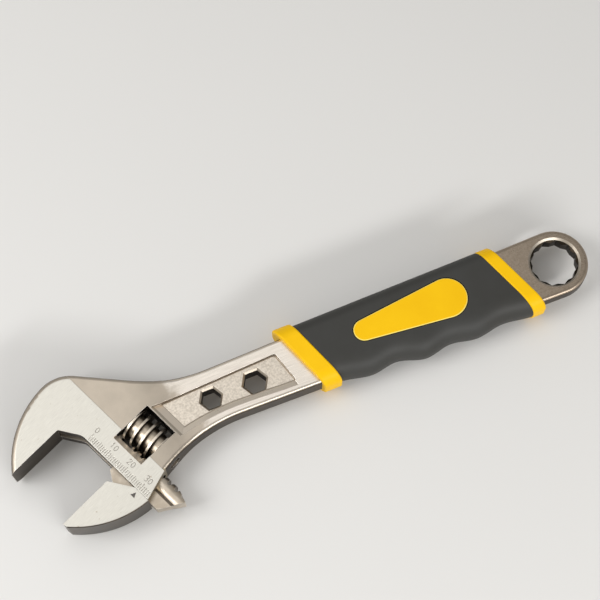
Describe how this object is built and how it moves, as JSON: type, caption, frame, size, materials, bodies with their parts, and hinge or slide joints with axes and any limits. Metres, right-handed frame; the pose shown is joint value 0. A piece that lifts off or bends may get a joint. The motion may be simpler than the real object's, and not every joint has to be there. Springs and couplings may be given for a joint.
{
  "type": "adjustable wrench",
  "caption": "Adjustable wrench with a worm-driven sliding jaw, a cushioned two-colour grip, hexagonal sockets in its shank and a twelve-point ring socket in its tail.",
  "frame": {"origin": "centre of the ring socket, on the wrench's mid-plane", "axes": "+X from the head towards the ring end, +Y towards the fixed jaw's side, +Z out of the face that carries the scale"},
  "size_m": [0.26, 0.0687, 0.0184],
  "materials": {
    "body_steel": "satin plated, ground bright on the jaw, scale and shank rails",
    "jaw_steel": "finely ground faces",
    "worm_steel": "machined, lightly oiled",
    "pin_steel": "machined",
    "spring_steel": "drawn wire",
    "grip_yellow": "satin moulded",
    "grip_charcoal": "matte, finely grained"
  },
  "bodies": {
    "handle": {"wrench_body": "body_steel", "grip_core": "grip_yellow", "grip_cover": "grip_charcoal", "worm_pin": "pin_steel", "worm_spring": "spring_steel"},
    "jaw": {"moving_jaw": "jaw_steel"},
    "worm": {"worm": "worm_steel"}
  },
  "joints": [
    {"name": "jaw_slide", "type": "slide", "parent": "handle", "child": "jaw", "axis": [0.4067, -0.9135, 0], "range_m": [-0.0299, 0.004]},
    {"name": "worm_spin", "type": "hinge", "parent": "handle", "child": "worm", "pos_m": [-0.18807, -0.00566, 0], "axis": [0.4067, -0.9135, 0], "range_deg": [-370, 2700]}
  ],
  "couplings": [
    {"joint": "worm_spin", "follows": "jaw_slide", "rad_per_m": -1570.8}
  ]
}
